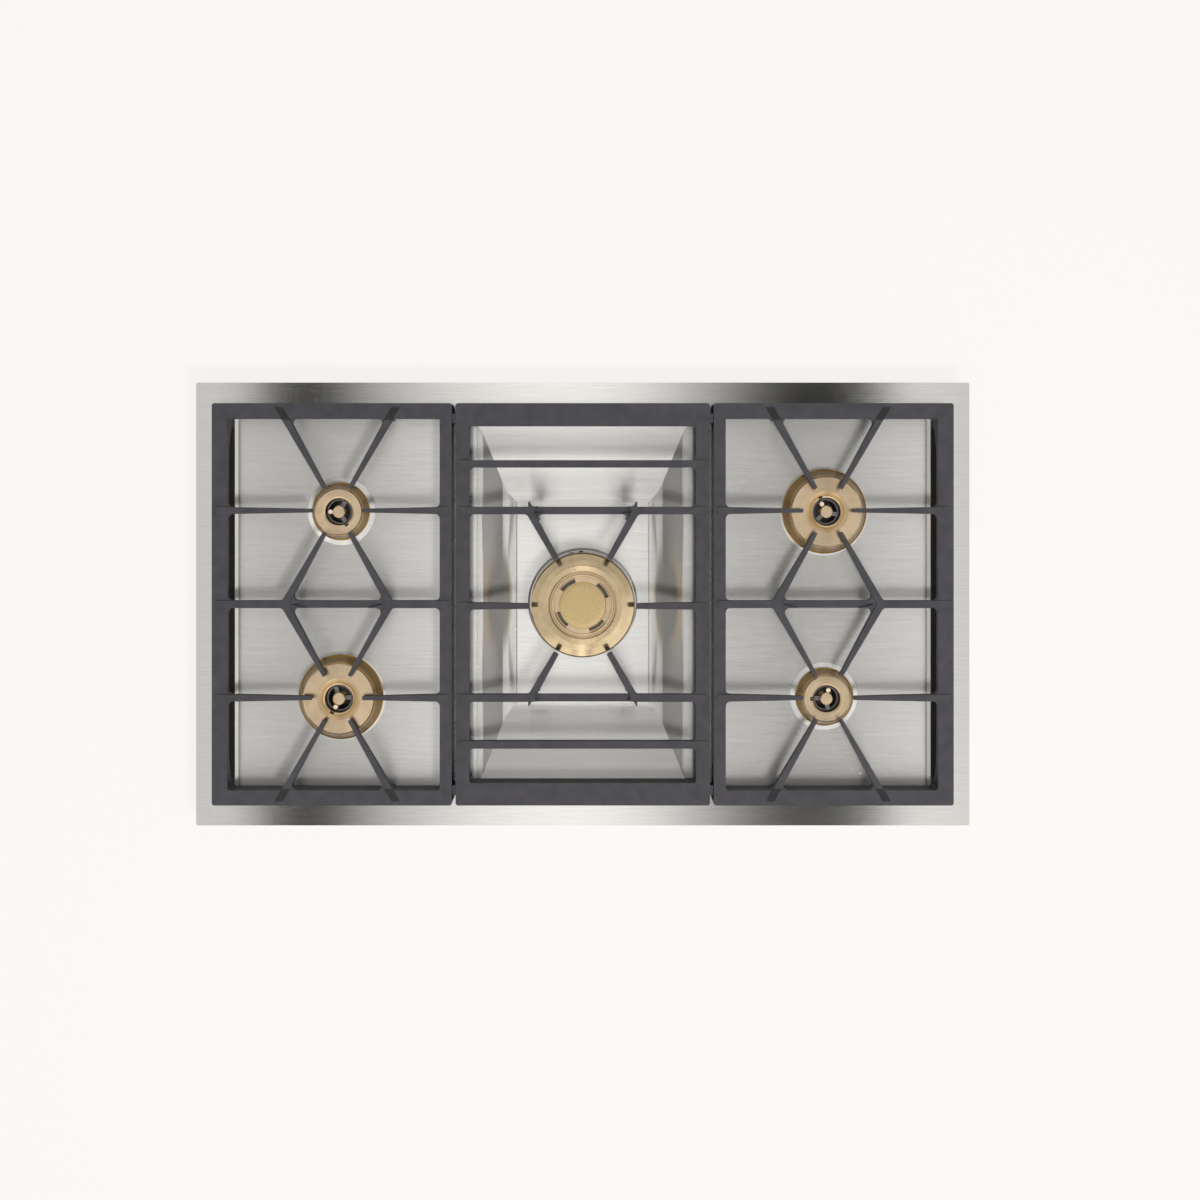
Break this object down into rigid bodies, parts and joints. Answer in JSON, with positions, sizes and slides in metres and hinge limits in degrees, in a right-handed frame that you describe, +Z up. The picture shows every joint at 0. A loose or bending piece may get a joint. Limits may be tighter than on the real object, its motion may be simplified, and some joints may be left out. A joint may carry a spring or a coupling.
{
  "type": "gas cooktop",
  "caption": "Built-in gas cooktop: brushed steel plate with a centre trough, brass ring burners and lift-off cast iron pan supports over a shallow steel tray.",
  "frame": {"origin": "centre of the plate, in the plane of the worktop surface it rests on", "axes": "+X to the cook's right, +Y to the rear, +Z up"},
  "size_m": [0.908, 0.52, 0.1073],
  "materials": {
    "brushed_plate": "brushed along X",
    "black_foam": "closed-cell foam",
    "cast_iron": "matt enamelled casting",
    "black_rubber": "matt",
    "turned_brass": "fine turned",
    "cap_brass": "fine blasted",
    "cast_aluminium": "as cast",
    "white_ceramic": "glazed",
    "probe_steel": "drawn",
    "jet_brass": "turned",
    "pipe_aluminium": "drawn tube",
    "union_brass": "turned",
    "galvanised_steel": "zinc coated sheet",
    "grey_plastic": "moulded",
    "black_plastic": "moulded",
    "zinc_fixings": "zinc plated"
  },
  "bodies": {
    "hob": {"bracket_screws": "zinc_fixings", "burner_cup_left_front": "cast_aluminium", "burner_cup_left_rear": "cast_aluminium", "burner_cup_right_front": "cast_aluminium", "burner_cup_right_rear": "cast_aluminium", "burner_stud_left_front": "turned_brass", "burner_stud_left_rear": "turned_brass", "burner_stud_right_front": "turned_brass", "burner_stud_right_rear": "turned_brass", "clamp_brackets": "galvanised_steel", "clamp_screws": "zinc_fixings", "cup_nuts": "zinc_fixings", "feed_pipe_left_front": "pipe_aluminium", "feed_pipe_left_rear": "pipe_aluminium", "feed_pipe_right_front": "pipe_aluminium", "feed_pipe_right_rear": "pipe_aluminium", "feed_pipe_wok": "pipe_aluminium", "flame_probe_left_front": "probe_steel", "flame_probe_left_rear": "probe_steel", "flame_probe_right_front": "probe_steel", "flame_probe_right_rear": "probe_steel", "flame_probe_wok": "probe_steel", "gas_jet_left_front": "jet_brass", "gas_jet_left_rear": "jet_brass", "gas_jet_right_front": "jet_brass", "gas_jet_right_rear": "jet_brass", "gas_jet_wok": "jet_brass", "lower_tray": "galvanised_steel", "mains_gland": "black_plastic", "rim_seal": "black_foam", "spark_electrode_left_front": "white_ceramic", "spark_electrode_left_rear": "white_ceramic", "spark_electrode_right_front": "white_ceramic", "spark_electrode_right_rear": "white_ceramic", "spark_electrode_wok": "white_ceramic", "spark_module": "grey_plastic", "top_plate": "brushed_plate", "tray_nuts": "zinc_fixings", "union_nuts": "union_brass", "wok_cup": "cast_aluminium"},
    "left_support": {"pan_support_left": "cast_iron", "leg_pads_left": "black_rubber"},
    "centre_support": {"pan_support_centre": "cast_iron", "leg_pads_centre": "black_rubber"},
    "right_support": {"pan_support_right": "cast_iron", "leg_pads_right": "black_rubber"},
    "left_rear_head": {"burner_head_left_rear": "turned_brass"},
    "left_front_head": {"burner_head_left_front": "turned_brass"},
    "right_rear_head": {"burner_head_right_rear": "turned_brass"},
    "right_front_head": {"burner_head_right_front": "turned_brass"},
    "wok_ring": {"wok_outer_ring": "turned_brass"},
    "wok_inner": {"wok_inner_ring": "turned_brass"},
    "wok_cap": {"wok_centre_cap": "cap_brass"}
  },
  "joints": [
    {"name": "left_support_lift", "type": "slide", "parent": "hob", "child": "left_support", "axis": [0, 0, 1], "range_m": [0, 0.1]},
    {"name": "centre_support_lift", "type": "slide", "parent": "hob", "child": "centre_support", "axis": [0, 0, 1], "range_m": [0, 0.1]},
    {"name": "right_support_lift", "type": "slide", "parent": "hob", "child": "right_support", "axis": [0, 0, 1], "range_m": [0, 0.1]},
    {"name": "left_rear_head_lift", "type": "slide", "parent": "hob", "child": "left_rear_head", "axis": [0, 0, 1], "range_m": [0, 0.004]},
    {"name": "left_front_head_lift", "type": "slide", "parent": "hob", "child": "left_front_head", "axis": [0, 0, 1], "range_m": [0, 0.004]},
    {"name": "right_rear_head_lift", "type": "slide", "parent": "hob", "child": "right_rear_head", "axis": [0, 0, 1], "range_m": [0, 0.004]},
    {"name": "right_front_head_lift", "type": "slide", "parent": "hob", "child": "right_front_head", "axis": [0, 0, 1], "range_m": [0, 0.004]},
    {"name": "wok_ring_lift", "type": "slide", "parent": "hob", "child": "wok_ring", "axis": [0, 0, 1], "range_m": [0, 0.06]},
    {"name": "wok_inner_lift", "type": "slide", "parent": "hob", "child": "wok_inner", "axis": [0, 0, 1], "range_m": [0, 0.06]},
    {"name": "wok_cap_lift", "type": "slide", "parent": "wok_inner", "child": "wok_cap", "axis": [0, 0, 1], "range_m": [0, 0.03]}
  ]
}
